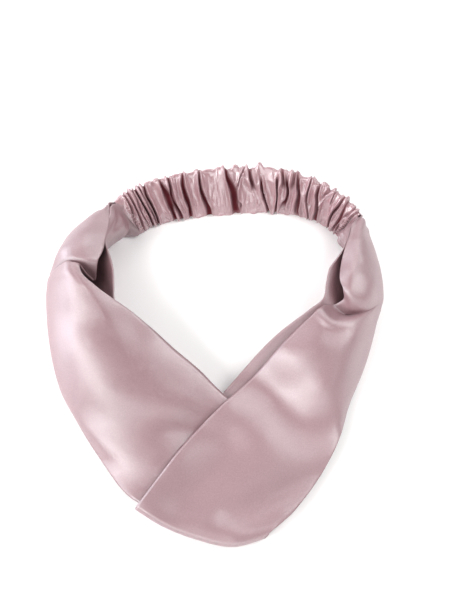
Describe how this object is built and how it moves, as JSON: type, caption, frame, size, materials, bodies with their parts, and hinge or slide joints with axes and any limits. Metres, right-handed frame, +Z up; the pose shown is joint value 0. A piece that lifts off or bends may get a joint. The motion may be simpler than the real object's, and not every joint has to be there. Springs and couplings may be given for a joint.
{
  "type": "knotted headband",
  "caption": "Satin head band with two wide soft bands folded round each other at the front and a ruched elastic strap at the back.",
  "frame": {"origin": "middle of the footprint, on the table plane", "axes": "+Y from the knotted front towards the elastic strap, +Z up from the table, +X to the right"},
  "size_m": [0.1946, 0.2163, 0.0396],
  "materials": {
    "satin": "satin weave, soft sheen",
    "satin_casing": "satin weave, ruched",
    "elastic": "woven elastic, matte",
    "thread": "twisted sewing thread"
  },
  "bodies": {
    "front": {"left_band": "satin", "right_band": "satin", "left_band_seam_thread": "thread", "right_band_seam_thread": "thread"},
    "strap_ends": {"left_join_stitches": "thread", "right_join_stitches": "thread"},
    "strap": {"elastic_casing": "satin_casing", "elastic_strip": "elastic", "casing_seam_thread": "thread", "left_elastic_tack": "thread", "right_elastic_tack": "thread"}
  },
  "joints": [
    {"name": "strap_swing", "type": "hinge", "parent": "front", "child": "strap_ends", "pos_m": [0.013, 0.077, 0.012], "axis": [1, 0, 0], "range_deg": [0, 50], "deforming": ["left_band", "right_band", "elastic_casing", "elastic_strip", "casing_seam_thread"]},
    {"name": "elastic_stretch", "type": "slide", "parent": "strap_ends", "child": "strap", "axis": [0, 1, 0], "range_m": [0, 0.04], "stiffness_N_per_m": 150, "deforming": ["elastic_casing", "elastic_strip", "casing_seam_thread"]}
  ]
}
